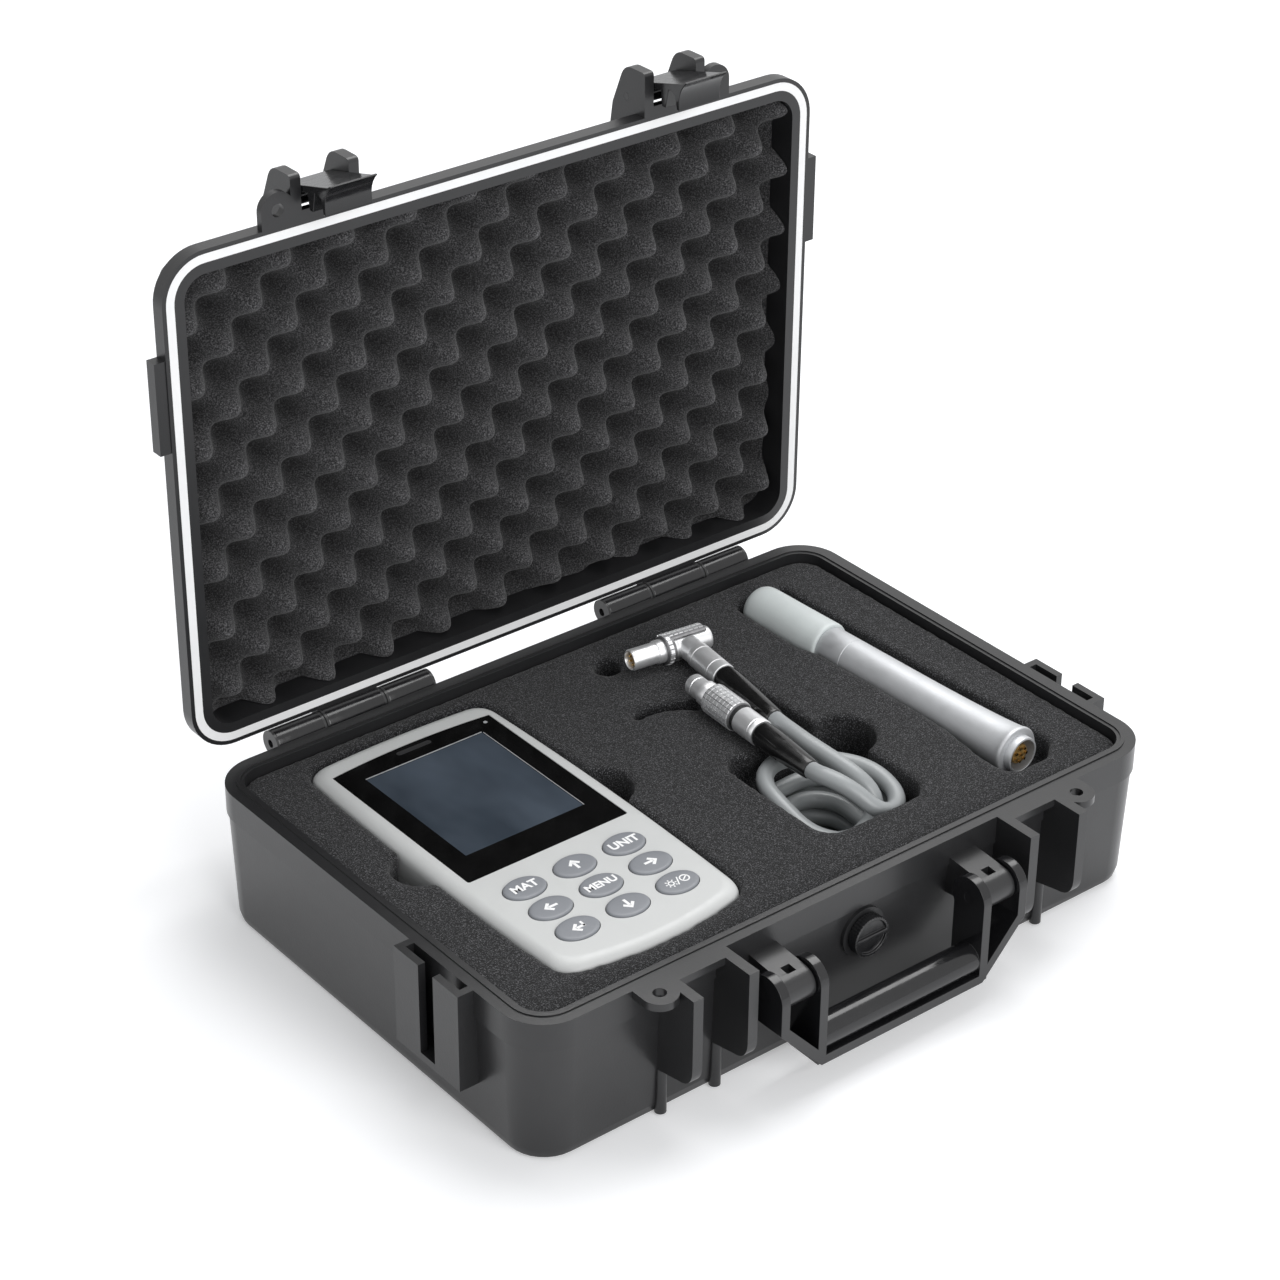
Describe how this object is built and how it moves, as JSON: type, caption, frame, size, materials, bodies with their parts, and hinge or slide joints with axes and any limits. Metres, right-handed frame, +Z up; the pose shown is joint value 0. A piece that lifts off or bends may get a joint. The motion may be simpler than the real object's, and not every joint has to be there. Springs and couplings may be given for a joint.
{
  "type": "hardness tester kit",
  "caption": "Hand-held hardness tester with keypad and display, stored with its probe and coiled cable in the cut foam of an open hinged carrying case.",
  "frame": {"origin": "middle of the case base's underside", "axes": "+X along the case to the right, +Y from the handle to the hinge, +Z up"},
  "size_m": [0.307, 0.2585, 0.2826],
  "materials": {
    "case": "dark grey moulded plastic, fine grain",
    "foam": "dark grey open foam",
    "steel": "plain steel",
    "gasket": "white soft rubber",
    "seal": "black rubber",
    "gauge_shell": "pale grey satin plastic",
    "window": "black glossy panel",
    "display": "dark blue-grey display",
    "board": "green circuit board",
    "mat": "grey silicone",
    "key": "mid grey satin keys",
    "battery": "printed cells",
    "plug_metal": "satin bright plating",
    "cap": "pale milky soft plastic",
    "gold": "gold plated contacts",
    "boot": "black rubber",
    "cable": "grey soft sheath"
  },
  "bodies": {
    "base": {"base_shell": "case", "base_foam": "foam", "hinge_pin_left": "steel", "hinge_pin_right": "steel", "handle_pin_left": "steel", "handle_pin_right": "steel", "valve_seal": "seal", "gauge_front": "gauge_shell", "gauge_rear": "gauge_shell", "gauge_window": "window", "gauge_lcd": "display", "gauge_board": "board", "keypad_mat": "mat", "battery_pack": "battery", "battery_cover": "gauge_shell", "gauge_socket": "plug_metal", "gauge_screws": "steel", "probe_body": "plug_metal", "probe_cap": "cap", "probe_tip": "plug_metal", "probe_socket": "gold", "probe_pins": "gold", "elbow_plug_nose": "plug_metal", "elbow_plug_body": "plug_metal", "elbow_plug_boot": "boot", "straight_plug_nose": "plug_metal", "straight_plug_nut": "plug_metal", "straight_plug_boot": "boot", "cable_lead_elbow": "cable", "cable_lead_straight": "cable", "cable_coil": "cable"},
    "lid": {"lid_shell": "case", "lid_gasket": "gasket", "lid_foam": "foam", "latch_pin_left": "steel", "latch_pin_right": "steel"},
    "latch_left": {"latch_left": "case"},
    "latch_right": {"latch_right": "case"},
    "handle": {"handle": "case"},
    "valve_knob": {"valve_knob": "case"},
    "elbow_sleeve": {"elbow_plug_sleeve": "plug_metal"},
    "straight_sleeve": {"straight_plug_sleeve": "plug_metal"},
    "key_material": {"key_material": "key"},
    "key_up_arrow": {"key_up_arrow": "key"},
    "key_unit": {"key_unit": "key"},
    "key_left_arrow": {"key_left_arrow": "key"},
    "key_menu": {"key_menu": "key"},
    "key_right_arrow": {"key_right_arrow": "key"},
    "key_enter": {"key_enter": "key"},
    "key_down_arrow": {"key_down_arrow": "key"},
    "key_power": {"key_power": "key"}
  },
  "joints": [
    {"name": "lid_hinge", "type": "hinge", "parent": "base", "child": "lid", "pos_m": [0, 0.105, 0.0592], "axis": [1, 0, 0], "range_deg": [0, 90], "deforming": ["lid_foam"]},
    {"name": "latch_left_pivot", "type": "hinge", "parent": "lid", "child": "latch_left", "pos_m": [-0.0786, 0.1182, 0.2695], "axis": [-1, 0, 0], "range_deg": [0, 100]},
    {"name": "latch_right_pivot", "type": "hinge", "parent": "lid", "child": "latch_right", "pos_m": [0.0786, 0.1182, 0.2695], "axis": [-1, 0, 0], "range_deg": [0, 100]},
    {"name": "handle_pivot", "type": "hinge", "parent": "base", "child": "handle", "pos_m": [0, -0.115, 0.0448], "axis": [-1, 0, 0], "range_deg": [0, 100]},
    {"name": "valve_turn", "type": "hinge", "parent": "base", "child": "valve_knob", "pos_m": [0, -0.1, 0.0382], "axis": [0, -1, 0], "range_deg": [0, 180]},
    {"name": "key_material_press", "type": "slide", "parent": "base", "child": "key_material", "axis": [0, 0, -1], "range_m": [0, 0.0008], "stiffness_N_per_m": 800},
    {"name": "key_up_arrow_press", "type": "slide", "parent": "base", "child": "key_up_arrow", "axis": [0, 0, -1], "range_m": [0, 0.0008], "stiffness_N_per_m": 800},
    {"name": "key_unit_press", "type": "slide", "parent": "base", "child": "key_unit", "axis": [0, 0, -1], "range_m": [0, 0.0008], "stiffness_N_per_m": 800},
    {"name": "key_left_arrow_press", "type": "slide", "parent": "base", "child": "key_left_arrow", "axis": [0, 0, -1], "range_m": [0, 0.0008], "stiffness_N_per_m": 800},
    {"name": "key_menu_press", "type": "slide", "parent": "base", "child": "key_menu", "axis": [0, 0, -1], "range_m": [0, 0.0008], "stiffness_N_per_m": 800},
    {"name": "key_right_arrow_press", "type": "slide", "parent": "base", "child": "key_right_arrow", "axis": [0, 0, -1], "range_m": [0, 0.0008], "stiffness_N_per_m": 800},
    {"name": "key_enter_press", "type": "slide", "parent": "base", "child": "key_enter", "axis": [0, 0, -1], "range_m": [0, 0.0008], "stiffness_N_per_m": 800},
    {"name": "key_down_arrow_press", "type": "slide", "parent": "base", "child": "key_down_arrow", "axis": [0, 0, -1], "range_m": [0, 0.0008], "stiffness_N_per_m": 800},
    {"name": "key_power_press", "type": "slide", "parent": "base", "child": "key_power", "axis": [0, 0, -1], "range_m": [0, 0.0008], "stiffness_N_per_m": 800},
    {"name": "elbow_sleeve_pull", "type": "slide", "parent": "base", "child": "elbow_sleeve", "axis": [0.9921, -0.1253, 0], "range_m": [0, 0.0015], "stiffness_N_per_m": 500},
    {"name": "straight_sleeve_pull", "type": "slide", "parent": "base", "child": "straight_sleeve", "axis": [-0.0576, -0.9983, 0], "range_m": [0, 0.0015], "stiffness_N_per_m": 500}
  ]
}
